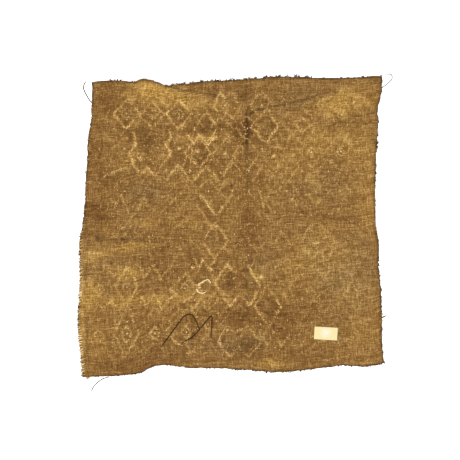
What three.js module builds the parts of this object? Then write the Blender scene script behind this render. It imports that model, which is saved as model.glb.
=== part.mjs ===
// A square panel of raffia cloth, woven by hand and embroidered on its other face.
// It lies face down, so its plain back is up, with the soft folds of a cloth that was kept folded.
// Millimetres, +Z up, +Y towards the far edge. The origin is on the flat underside, near the middle.
import * as THREE from 'three';

// Driving dimensions of the sheet
const CLOTH_THICKNESS = 2;
const CELLS_ALONG_A_SIDE = 40;

// Where the panel's four corners lie
const CORNERS = {
  farLeft: new THREE.Vector2(-264, 273),
  farRight: new THREE.Vector2(286, 286),
  nearLeft: new THREE.Vector2(-281.5, -288),
  nearRight: new THREE.Vector2(290.5, -259.5),
};

// How far each edge stands out from the straight line between its corners.
// at: share of the way from its left or far corner; out: millimetres, outwards positive.
const FAR_EDGE = [
  { at: 0.09, out: 2.5 },
  { at: 0.145, out: -1.5 },
  { at: 0.18, out: 3.5 },
  { at: 0.21, out: -0.5 },
  { at: 0.262, out: -10 },
  { at: 0.311, out: -8 },
  { at: 0.366, out: -4.5 },
  { at: 0.53, out: -1 },
  { at: 0.64, out: 2 },
  { at: 0.81, out: -2.5 },
  { at: 0.92, out: -2 },
];
const NEAR_EDGE = [
  { at: 0.06, out: -0.5 },
  { at: 0.165, out: -1 },
  { at: 0.192, out: -3.5 },
  { at: 0.22, out: -11 },
  { at: 0.252, out: -16 },
  { at: 0.3, out: -14 },
  { at: 0.35, out: -8.5 },
  { at: 0.43, out: -5.5 },
  { at: 0.54, out: 0.5 },
  { at: 0.65, out: 8 },
  { at: 0.78, out: 5 },
  { at: 0.86, out: 1.5 },
  { at: 0.92, out: 5 },
  { at: 0.97, out: 4.5 },
];
const LEFT_EDGE = [
  { at: 0.05, out: -1 },
  { at: 0.155, out: 0.5 },
  { at: 0.185, out: 4 },
  { at: 0.265, out: 5 },
  { at: 0.48, out: 9 },
  { at: 0.535, out: 13.5 },
  { at: 0.64, out: 11.5 },
  { at: 0.75, out: 11.5 },
  { at: 0.82, out: 12 },
  { at: 0.94, out: 4 },
];
const RIGHT_EDGE = [
  { at: 0.045, out: 0.5 },
  { at: 0.13, out: -8.5 },
  { at: 0.16, out: -6 },
  { at: 0.21, out: -9 },
  { at: 0.32, out: -12.5 },
  { at: 0.46, out: -14 },
  { at: 0.547, out: -11.5 },
  { at: 0.58, out: -7.5 },
  { at: 0.66, out: -8.5 },
  { at: 0.74, out: -4.5 },
  { at: 0.83, out: -3 },
  { at: 0.94, out: -3 },
];

// The soft folds in which the cloth stands off the surface under it.
// x, y: middle; turn: degrees from +X to its line; length, width: its footprint; rise: its height;
// lean: how far its crest stands off its middle line, to the line's left, as a share of half the width.
const FOLDS = [
  { name: 'middle crease, far', x: 24, y: 190, turn: 92, length: 250, width: 50, lean: -0.35, rise: 3.2 },
  { name: 'middle crease, near', x: 36, y: -95, turn: 89, length: 390, width: 48, lean: -0.2, rise: 2.2 },
  { name: 'tuck at the far edge', x: -112, y: 256, turn: -13, length: 200, width: 64, lean: 0.45, rise: 7 },
  { name: 'peak of the tuck', x: -168, y: 278, turn: 60, length: 90, width: 56, lean: 0, rise: 4.5 },
  { name: 'slanting crease', x: 104, y: 221, turn: 14, length: 210, width: 56, lean: 0.5, rise: 4.5 },
  { name: 'crease at the right', x: 232, y: 183, turn: -2, length: 130, width: 48, lean: 0.45, rise: 3 },
  { name: 'right edge scallop', x: 266, y: 55, turn: 88, length: 190, width: 50, lean: 0, rise: 3.5 },
  { name: 'band at the left', x: -238, y: -48, turn: 4, length: 170, width: 54, lean: 0.4, rise: 4.2 },
  { name: 'left edge', x: -284, y: -185, turn: 92, length: 170, width: 46, lean: 0, rise: 3 },
  { name: 'pucker, near edge', x: -150, y: -250, turn: 68, length: 120, width: 70, lean: 0.2, rise: 5.5 },
  { name: 'near edge swell', x: 92, y: -268, turn: -1, length: 150, width: 52, lean: -0.2, rise: 3.2 },
  { name: 'lower right swell', x: 200, y: -110, turn: -24, length: 180, width: 64, lean: 0.2, rise: 2.2 },
  { name: 'upper left swell', x: -170, y: 105, turn: 12, length: 190, width: 70, lean: 0.3, rise: 2.4 },
];

// The paper label that is stuck to the back
const LABEL = {
  x: 180,
  y: -204,
  turn: -3.4,
  width: 44,
  height: 24,
  thickness: 1,
  cellsAcross: 8,
  cellsUp: 4,
};

// Clearance that separate pieces keep from each other, and more of it over the facets of a fold
const PIECE_GAP = 0.3;
const STRAND_GAP = 0.5;

// Loose ends of raffia are flat strips, thinner where they have frayed off an edge.
const EDGE_END_SECTION = { width: 0.9, thickness: 0.8 };
const FACE_END_SECTION = { width: 1.6, thickness: 1 };
const STRAND_STEPS_PER_POINT = 3;

// Ends that leave an edge and lie on the surface. root: the edge and the share along it; route: the way on.
const EDGE_ENDS = [
  {
    name: 'loose_end_far_left',
    colour: 0x5b4a33,
    root: { edge: 'left', at: 0.068 },
    route: [
      { x: -271, y: 242.5 },
      { x: -277.8, y: 255 },
      { x: -280.2, y: 262 },
      { x: -279.2, y: 268.5 },
      { x: -274.5, y: 276.5 },
    ],
  },
  {
    name: 'loose_end_far_right',
    colour: 0xd8d2c4,
    root: { edge: 'right', at: 0.043 },
    route: [
      { x: 291, y: 265.6 },
      { x: 300, y: 272.8 },
      { x: 305.5, y: 279 },
      { x: 305.4, y: 286 },
      { x: 300.6, y: 288.9 },
      { x: 295.4, y: 286 },
    ],
  },
  {
    name: 'loose_end_near_left',
    colour: 0x8f887a,
    root: { edge: 'near', at: 0.087 },
    route: [
      { x: -242, y: -289.6 },
      { x: -252.5, y: -296.4 },
      { x: -261, y: -305.2 },
      { x: -266.2, y: -316 },
    ],
  },
];

// Ends that come out of the weave and lie on the back.
const FACE_ENDS = [
  {
    name: 'dark_end_arched',
    colour: 0x3a2612,
    route: [
      { x: -133, y: -230 },
      { x: -110, y: -199 },
      { x: -90, y: -172.5 },
      { x: -80, y: -167.5 },
      { x: -71.5, y: -171.5 },
      { x: -62.2, y: -190 },
    ],
  },
  {
    name: 'dark_end_kinked',
    colour: 0x3a2612,
    route: [
      { x: -93, y: -222 },
      { x: -70, y: -207.5 },
      { x: -48, y: -182 },
      { x: -39.5, y: -172.4 },
      { x: -37, y: -170.8 },
      { x: -35.9, y: -173.6 },
      { x: -36.2, y: -186 },
      { x: -37.8, y: -214.5 },
    ],
  },
  {
    name: 'pale_end_curled',
    colour: 0xe3c08a,
    route: [
      { x: -38, y: -109 },
      { x: -41, y: -104.5 },
      { x: -45.5, y: -102 },
      { x: -60.5, y: -110 },
      { x: -64.8, y: -116 },
      { x: -64, y: -122.5 },
      { x: -59, y: -126.6 },
      { x: -51.5, y: -127.2 },
      { x: -46.5, y: -124.2 },
    ],
  },
];

// An edge as a function of the share of the way along it and of how far out of it a point stands.
// side is 1 where the outside is to the left of the way from start to end, and -1 where it is to the right.
function edgeCurve(start, end, rows, side) {
  const along = end.clone().sub(start);
  const outward = new THREE.Vector2(-along.y, along.x).normalize().multiplyScalar(side);
  const shares = [0, ...rows.map((row) => row.at), 1];
  const bows = [0, ...rows.map((row) => row.out), 0];
  const bow = new THREE.CubicInterpolant(shares, bows, 1);
  return (share, beyond = 0) => {
    const [out] = bow.evaluate(share);
    return start.clone().addScaledVector(along, share).addScaledVector(outward, out + beyond);
  };
}

const edges = {
  far: edgeCurve(CORNERS.farLeft, CORNERS.farRight, FAR_EDGE, 1),
  near: edgeCurve(CORNERS.nearLeft, CORNERS.nearRight, NEAR_EDGE, -1),
  left: edgeCurve(CORNERS.farLeft, CORNERS.nearLeft, LEFT_EDGE, -1),
  right: edgeCurve(CORNERS.farRight, CORNERS.nearRight, RIGHT_EDGE, 1),
};

// A point of the sheet: u is the share from the left edge to the right one, v from far to near.
function pointInPlan(u, v) {
  const between = new THREE.Vector2();
  between.addScaledVector(edges.far(u), 1 - v).addScaledVector(edges.near(u), v);
  between.addScaledVector(edges.left(v), 1 - u).addScaledVector(edges.right(v), u);
  between.addScaledVector(CORNERS.farLeft, -(1 - u) * (1 - v));
  between.addScaledVector(CORNERS.farRight, -u * (1 - v));
  between.addScaledVector(CORNERS.nearLeft, -(1 - u) * v);
  between.addScaledVector(CORNERS.nearRight, -u * v);
  return between;
}

// A rounded crest: 1 in the middle, 0 from a distance of 1 on.
const crest = (distance) => (Math.abs(distance) < 1 ? 0.5 + 0.5 * Math.cos(Math.PI * distance) : 0);

// The height across a fold: its crest stands at lean, and both its sides fall to 0 at the footprint's edge.
function leaningCrest(across, lean) {
  const fromCrest = across - lean;
  return crest(fromCrest > 0 ? fromCrest / (1 - lean) : fromCrest / (1 + lean));
}

// How far the cloth's underside stands off the surface at a point.
function lift(x, y) {
  return FOLDS.reduce((height, fold) => {
    const offset = new THREE.Vector2(x - fold.x, y - fold.y);
    offset.rotateAround(new THREE.Vector2(), -THREE.MathUtils.degToRad(fold.turn));
    const along = offset.x / (fold.length / 2);
    const across = offset.y / (fold.width / 2);
    return height + fold.rise * crest(along) * leaningCrest(across, fold.lean);
  }, 0);
}

const topOfCloth = (x, y) => lift(x, y) + CLOTH_THICKNESS;

// A closed sheet over a grid: plan gives x and y for u and v from 0 to 1, and base the underside's height.
function sheetGeometry(across, down, thickness, plan, base) {
  const positions = [];
  const faces = [];
  const columns = across + 1;
  const layer = columns * (down + 1);
  for (const height of [0, thickness]) {
    for (let row = 0; row <= down; row += 1) {
      for (let column = 0; column <= across; column += 1) {
        const { x, y } = plan(column / across, row / down);
        positions.push(x, y, base(x, y) + height);
      }
    }
  }
  for (let row = 0; row < down; row += 1) {
    for (let column = 0; column < across; column += 1) {
      const a = row * columns + column;
      const [b, c, d] = [a + 1, a + columns, a + columns + 1];
      faces.push(a, b, c, b, d, c);
      faces.push(layer + a, layer + c, layer + b, layer + b, layer + c, layer + d);
    }
  }
  const rim = [];
  for (let column = 0; column < across; column += 1) rim.push(column);
  for (let row = 0; row < down; row += 1) rim.push(row * columns + across);
  for (let column = across; column > 0; column -= 1) rim.push(down * columns + column);
  for (let row = down; row > 0; row -= 1) rim.push(row * columns);
  rim.forEach((from, index) => {
    const to = rim[(index + 1) % rim.length];
    faces.push(from, layer + from, to, to, layer + from, layer + to);
  });
  const geometry = new THREE.BufferGeometry();
  geometry.setAttribute('position', new THREE.Float32BufferAttribute(positions, 3));
  geometry.setIndex(faces);
  geometry.computeVertexNormals();
  return geometry;
}

// A flat strip of raffia along a route, its underside at the heights that level gives.
function strandGeometry(route, { width, thickness }, level) {
  const steps = (route.length - 1) * STRAND_STEPS_PER_POINT;
  const plan = new THREE.CatmullRomCurve3(route.map(({ x, y }) => new THREE.Vector3(x, y, 0)));
  const laid = plan.getSpacedPoints(steps);
  laid.forEach((point) => point.setZ(level(point.x, point.y) + thickness / 2));
  const section = new THREE.Shape([
    new THREE.Vector2(-thickness / 2, -width / 2),
    new THREE.Vector2(thickness / 2, -width / 2),
    new THREE.Vector2(thickness / 2, width / 2),
    new THREE.Vector2(-thickness / 2, width / 2),
  ]);
  return new THREE.ExtrudeGeometry(section, {
    steps,
    extrudePath: new THREE.CatmullRomCurve3(laid),
    bevelEnabled: false,
  });
}

function namedMesh(name, geometry, colour, roughness) {
  const material = new THREE.MeshStandardMaterial({ color: colour, roughness, metalness: 0 });
  const mesh = new THREE.Mesh(geometry, material);
  mesh.name = name;
  return mesh;
}

const panel = new THREE.Group();

// The woven panel, one piece with its own selvedges
const clothGeometry = sheetGeometry(
  CELLS_ALONG_A_SIDE,
  CELLS_ALONG_A_SIDE,
  CLOTH_THICKNESS,
  pointInPlan,
  lift,
);
panel.add(namedMesh('cloth', clothGeometry, 0x997240, 0.9));

// The label, which follows the cloth under it
const labelPlan = (u, v) =>
  new THREE.Vector2((u - 0.5) * LABEL.width, (0.5 - v) * LABEL.height)
    .rotateAround(new THREE.Vector2(), THREE.MathUtils.degToRad(LABEL.turn))
    .add(new THREE.Vector2(LABEL.x, LABEL.y));
const labelGeometry = sheetGeometry(
  LABEL.cellsAcross,
  LABEL.cellsUp,
  LABEL.thickness,
  labelPlan,
  (x, y) => topOfCloth(x, y) + PIECE_GAP,
);
panel.add(namedMesh('label', labelGeometry, 0xf3e2a6, 0.7));

// Loose ends past the edges start just clear of the edge and lie level on the surface
for (const { name, colour, root, route } of EDGE_ENDS) {
  const start = edges[root.edge](root.at, PIECE_GAP + EDGE_END_SECTION.width / 2);
  const geometry = strandGeometry([start, ...route], EDGE_END_SECTION, () => 0);
  panel.add(namedMesh(name, geometry, colour, 0.8));
}

// Loose ends on the back follow the cloth under them
for (const { name, colour, route } of FACE_ENDS) {
  const geometry = strandGeometry(route, FACE_END_SECTION, (x, y) => topOfCloth(x, y) + STRAND_GAP);
  panel.add(namedMesh(name, geometry, colour, 0.8));
}

export default panel;
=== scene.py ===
import math

import bmesh
import bpy
import numpy as np
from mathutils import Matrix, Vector
from mathutils.bvhtree import BVHTree
from mathutils.kdtree import KDTree


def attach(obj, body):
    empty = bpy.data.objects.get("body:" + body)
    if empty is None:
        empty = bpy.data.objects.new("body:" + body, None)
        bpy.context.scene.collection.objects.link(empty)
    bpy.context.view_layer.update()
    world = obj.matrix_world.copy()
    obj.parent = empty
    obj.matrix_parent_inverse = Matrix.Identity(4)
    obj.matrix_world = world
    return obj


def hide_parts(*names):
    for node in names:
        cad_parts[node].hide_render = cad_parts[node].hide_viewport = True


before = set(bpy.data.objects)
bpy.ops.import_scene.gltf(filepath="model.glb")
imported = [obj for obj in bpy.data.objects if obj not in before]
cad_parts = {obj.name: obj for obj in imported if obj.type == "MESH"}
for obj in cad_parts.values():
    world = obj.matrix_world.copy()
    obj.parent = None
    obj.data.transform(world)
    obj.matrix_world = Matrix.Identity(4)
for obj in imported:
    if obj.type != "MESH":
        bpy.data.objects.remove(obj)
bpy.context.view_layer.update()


# The panel
# One square of raffia, woven by hand in plain weave from split leaf fibre, lying face down with its back up.
# Its edges are raw, and it keeps the soft folds and the sharper creases of a cloth that was stored folded.
MM = 0.001
CELLS_ALONG_A_SIDE = 210
PANEL_THICKNESS = 1.9 * MM
SIDE_LENGTH = 570 * MM
RIM_STEP_INSIDE = 0.002
FACET_BLUR_CELLS = 2.6
RIM_ROUNDING = 0.9 * MM
RIM_ROUNDING_REACH = 2.6 * MM
RAGGED_REACH = 4.0 * MM
CREASE_SHADE_REACH = 2.0
CREASE_WANDER = 1.3
CREASE_WANDER_PITCH = 22
# Creases fade at both ends, along half a sine: where on it they start, how much they cover, and the gain
CREASE_FADE = (0.12, 0.76, 1.4)

# Sharp creases in millimetres. depth: how far the trough sinks below the fold that it lies on, or, below 0,
# how far a ridge stands up. painted shade: how dark the crease is painted, as shade in its hollow.
CREASES = [
    # from x, from y, to x, to y, bow, half width, depth, painted shade
    (27, 274, 29, 222, 1, 4.0, 0.7, 0.25),
    (29, 222, 30, 146, 1, 3.4, 1.2, 0.9),
    (30, 146, 32, 70, 0, 4.5, 0.6, 0.35),
    (32, 70, 36, -262, -3, 5.0, 0.35, 0.12),
    (32, 206, 62, 222, 5, 3.4, 0.9, 0.8),
    (62, 222, 104, 231, 1, 3.4, 1.2, 0.6),
    (104, 231, 174, 251, -1, 3.6, 1.1, 0.6),
    (174, 251, 206, 256, -1, 4.0, 0.5, 0.25),
    (196, 196, 275, 195, 1, 3.2, 0.9, 0.4),
    (-252, -27, -160, -26, 1, 3.2, 0.9, 0.4),
    (-127, 269, -62, 254, -2, 3.4, 1.3, 0.8),
    (-62, 254, -18, 247, 1, 4.0, 0.8, 0.4),
    (36, 161, 86, 163, 1, 3.0, 0.45, 0.35),
    (62, 162, 84, 167, 1, 3.0, 0.5, 0.4),
    (-212, 181, -134, 179, 2, 4.0, 0.4, 0.3),
    (-196, 7, -88, 6, 1, 5.0, -0.45, 0.0),
    (206, 44, 262, 30, -2, 5.0, 0.5, 0.2),
    (-268, 40, -214, 30, 2, 5.0, 0.45, 0.3),
    (-262, 12, -196, 16, 1, 4.0, 0.4, 0.3),
    (130, -238, 214, -262, 3, 6.0, 0.5, 0.2),
    (-176, -222, -138, -266, -2, 5.0, 0.7, 0.2),
    (-271, -14, -271, -282, -4, 2.6, 0.4, 0.4),
    (-40, -232, 30, -236, 2, 3.0, 0.3, 0.3),
    (-96, -258, 20, -254, 1, 3.4, 0.4, 0.35),
]

# Low cockles all over the cloth, from the coarsest to the finest
COCKLES = [
    # pitch, height, seed
    (46 * MM, 0.45 * MM, 3),
    (19 * MM, 0.22 * MM, 5),
    (8 * MM, 0.09 * MM, 8),
]
# How far the raw rim wanders in and out
RAGGED = [
    # pitch, depth, seed
    (4.2 * MM, 0.8 * MM, 21),
    (11 * MM, 0.6 * MM, 22),
]


def upper_rim(node):
    """The rim of a sheet's upper face, as a closed ring of points in order."""
    merged = bmesh.new()
    merged.from_mesh(node.data)
    bmesh.ops.remove_doubles(merged, verts=merged.verts, dist=1e-6)
    merged.normal_update()
    neighbours = {}
    for edge in merged.edges:
        upward = [face.normal.z > 0.5 for face in edge.link_faces]
        if upward.count(True) == 1:
            first, second = edge.verts
            neighbours.setdefault(first.index, []).append(second.index)
            neighbours.setdefault(second.index, []).append(first.index)
    merged.verts.ensure_lookup_table()
    start = next(iter(neighbours))
    ring = [start]
    previous, here = start, neighbours[start][0]
    while here != start:
        ring.append(here)
        onward = [n for n in neighbours[here] if n != previous]
        previous, here = here, onward[0]
    points = np.array([merged.verts[n].co for n in ring])
    merged.free()
    return points


def ring_side(ring, first, last):
    """The shorter way round a closed ring from one of its points to another."""
    count = len(ring)
    forward = [(first + n) % count for n in range((last - first) % count + 1)]
    backward = [(first - n) % count for n in range((first - last) % count + 1)]
    return ring[min(forward, backward, key=len)]


def smooth_line(points, count):
    """A line through all the points, evenly filled in to a number of points."""
    points = np.asarray(points, float)
    ends = np.vstack([2 * points[0] - points[1], points, 2 * points[-1] - points[-2]])
    at = np.linspace(0, len(points) - 1, count)
    start = np.minimum(at.astype(int), len(points) - 2)
    t = (at - start)[:, None]
    a, b, c, d = (ends[start + n] for n in range(4))
    squared = (2 * a - 5 * b + 4 * c - d) * t ** 2
    cubed = (3 * b - a - 3 * c + d) * t ** 3
    return 0.5 * (2 * b + (c - a) * t + squared + cubed)


def soft_noise(x, y, pitch, seed):
    """Uneven values from -1 to 1 that change over about one pitch."""
    columns = x / pitch
    rows = y / pitch
    columns = columns - columns.min()
    rows = rows - rows.min()
    lattice = np.random.default_rng(seed).uniform(-1, 1, (int(rows.max()) + 3, int(columns.max()) + 3))
    column, row = columns.astype(int), rows.astype(int)
    s, t = columns - column, rows - row
    s, t = s * s * (3 - 2 * s), t * t * (3 - 2 * t)
    near = lattice[row, column] * (1 - s) + lattice[row, column + 1] * s
    far = lattice[row + 1, column] * (1 - s) + lattice[row + 1, column + 1] * s
    return near * (1 - t) + far * t


def along_and_off(x, y, start, end, bow):
    """How far along a bowed line each point lies, as a share, and how far off it."""
    run = np.array(end) - np.array(start)
    length = np.hypot(*run)
    ahead = ((x - start[0]) * run[0] + (y - start[1]) * run[1]) / length ** 2
    side = ((y - start[1]) * run[0] - (x - start[0]) * run[1]) / length
    share = np.clip(ahead, 0, 1)
    side = side - bow * 4 * share * (1 - share)
    past = (ahead - share) * length
    return share, np.hypot(side, past)


def softened(grid, cells):
    """A grid of heights with its facets blurred away."""
    reach = int(3 * cells)
    weights = np.exp(-0.5 * (np.arange(-reach, reach + 1) / cells) ** 2)
    weights /= weights.sum()
    wide = np.pad(grid, reach, mode="reflect", reflect_type="odd")
    wide = np.apply_along_axis(lambda line: np.convolve(line, weights, mode="valid"), 0, wide)
    return np.apply_along_axis(lambda line: np.convolve(line, weights, mode="valid"), 1, wide)


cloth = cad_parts["cloth"]
rim = upper_rim(cloth)
far_left = int(np.argmin(rim[:, 0] - rim[:, 1]))
far_right = int(np.argmax(rim[:, 0] + rim[:, 1]))
near_left = int(np.argmin(rim[:, 0] + rim[:, 1]))
near_right = int(np.argmax(rim[:, 0] - rim[:, 1]))
row_points = CELLS_ALONG_A_SIDE + 1
edge_shares = np.linspace(0, 1, row_points)
far_edge = smooth_line(ring_side(rim, far_left, far_right), row_points)[:, :2]
near_edge = smooth_line(ring_side(rim, near_left, near_right), row_points)[:, :2]
left_edge = smooth_line(ring_side(rim, far_left, near_left), row_points)[:, :2]
right_edge = smooth_line(ring_side(rim, far_right, near_right), row_points)[:, :2]


def in_plan(u, v):
    """Where the cloth lies in plan: u from its left edge to its right, v from its far edge to its near."""
    def on_edge(edge, at):
        return np.stack([np.interp(at, edge_shares, edge[:, axis]) for axis in (0, 1)], axis=-1)

    u1, v1 = u[..., None], v[..., None]
    between_far_and_near = (1 - v1) * on_edge(far_edge, u) + v1 * on_edge(near_edge, u)
    between_left_and_right = (1 - u1) * on_edge(left_edge, v) + u1 * on_edge(right_edge, v)
    corners = (1 - v1) * ((1 - u1) * far_edge[0] + u1 * far_edge[-1])
    corners = corners + v1 * ((1 - u1) * near_edge[0] + u1 * near_edge[-1])
    return between_far_and_near + between_left_and_right - corners


across, down = np.meshgrid(edge_shares, edge_shares)
plan = in_plan(across, down)
inner = 1 - 2 * RIM_STEP_INSIDE
inside = in_plan(RIM_STEP_INSIDE + inner * across, RIM_STEP_INSIDE + inner * down)
solid = BVHTree.FromPolygons(
    [vertex.co.copy() for vertex in cloth.data.vertices],
    [tuple(polygon.vertices) for polygon in cloth.data.polygons],
)
heights = np.zeros(across.shape)
for row in range(row_points):
    for column in range(row_points):
        x, y = inside[row, column]
        hit = solid.ray_cast(Vector((x, y, 1)), Vector((0, 0, -1)))[0]
        heights[row, column] = hit.z if hit else solid.find_nearest(Vector((x, y, 1)))[0].z
heights = softened(heights, FACET_BLUR_CELLS)

x_mm, y_mm = plan[..., 0] / MM, plan[..., 1] / MM
# Each crease is also darkened along its line with painted shade.
painted_crease_shade = np.zeros(across.shape)
fade_start, fade_span, fade_gain = CREASE_FADE
for x0, y0, x1, y1, bow, half_width, depth, dirt_and_shade in CREASES:
    wander = CREASE_WANDER * soft_noise(x_mm, y_mm, CREASE_WANDER_PITCH, int(abs(x0 + y0)))
    share, off = along_and_off(x_mm + wander, y_mm + wander, (x0, y0), (x1, y1), bow)
    fade = np.clip(fade_gain * np.sin(math.pi * (fade_start + fade_span * share)), 0, 1)
    heights -= depth * MM * fade * np.exp(-(off / half_width) ** 2)
    painted_crease_shade = np.maximum(painted_crease_shade, dirt_and_shade * fade * np.exp(-(off / CREASE_SHADE_REACH) ** 2))
for pitch, height, seed in COCKLES:
    heights += height * soft_noise(plan[..., 0], plan[..., 1], pitch, seed)

to_rim = SIDE_LENGTH * np.minimum(np.minimum(across, 1 - across), np.minimum(down, 1 - down))
heights -= RIM_ROUNDING * np.exp(-(to_rim / RIM_ROUNDING_REACH) ** 2)
ragged = np.zeros(across.shape)
for pitch, depth, seed in RAGGED:
    ragged += depth * soft_noise(plan[..., 0], plan[..., 1], pitch, seed)
for axis, share in ((0, across), (1, -down)):
    low_side = np.exp(-np.abs(share - share.min()) * SIDE_LENGTH / RAGGED_REACH)
    high_side = np.exp(-np.abs(share.max() - share) * SIDE_LENGTH / RAGGED_REACH)
    plan[..., axis] += ragged * (high_side - low_side)

bpy.ops.object.select_all(action="DESELECT")
bpy.ops.mesh.primitive_grid_add(
    x_subdivisions=CELLS_ALONG_A_SIDE,
    y_subdivisions=CELLS_ALONG_A_SIDE,
    size=SIDE_LENGTH,
)
panel = bpy.context.object
panel.name = "raffia_panel"
# The grid's own rows run from near to far, so the rows worked out from far to near are turned round.
laid = np.dstack([plan, heights])[::-1].reshape(-1, 3)
panel.data.vertices.foreach_set("co", laid.ravel())
threads = panel.data.uv_layers.active
threads.name = "threads"
loop_points = np.zeros(len(panel.data.loops), int)
panel.data.loops.foreach_get("vertex_index", loop_points)
thread_grid = np.dstack([across, 1 - down])[::-1].reshape(-1, 2) * SIDE_LENGTH
threads.data.foreach_set("uv", thread_grid[loop_points].ravel())


# The pattern
# The embroidery on the face shows through on the back: rows of lozenges, zigzags, rings and dots, stitched
# between the threads with paler raffia. Each motif is charted on the embroiderer's own columns and rows.
COLUMN_PITCH = 51.1
ROW_PITCH = 84.7
FIRST_COLUMN_X = -247
FIRST_ROW_Y = 222
OUTLINES = {
    "lozenge": [(-1, 0), (0, 1), (1, 0), (0, -1), (-1, 0)],
    "notched": [
        (-1, 0), (-0.57, 1), (-0.1, 0.53), (0.38, 1), (1, 0), (0.43, -1), (0, -0.46), (-0.43, -1), (-1, 0),
    ],
    "spool": [
        (-0.8, 0.75), (-0.6, 0.3), (-0.95, -0.05), (-0.48, -0.92), (-0.12, -0.52), (0.26, -0.92),
        (0.9, -0.05), (0.68, 0.3), (1, 0.6), (0.8, 0.85),
    ],
    "chevron": [(-1, -1), (0, 1), (1, -1)],
    "vee": [(-1, 1), (0, -1), (1, 1)],
    "zigzag": [(-1, 1), (-0.55, -0.8), (-0.1, 1), (0.4, -1), (1, 0.8)],
    "rising stroke": [(-1, -1), (1, 1)],
    "falling stroke": [(-1, 1), (1, -1)],
    "dot": [(-1, -0.7), (1, -0.3), (-1, 0.2), (1, 0.7)],
}
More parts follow.
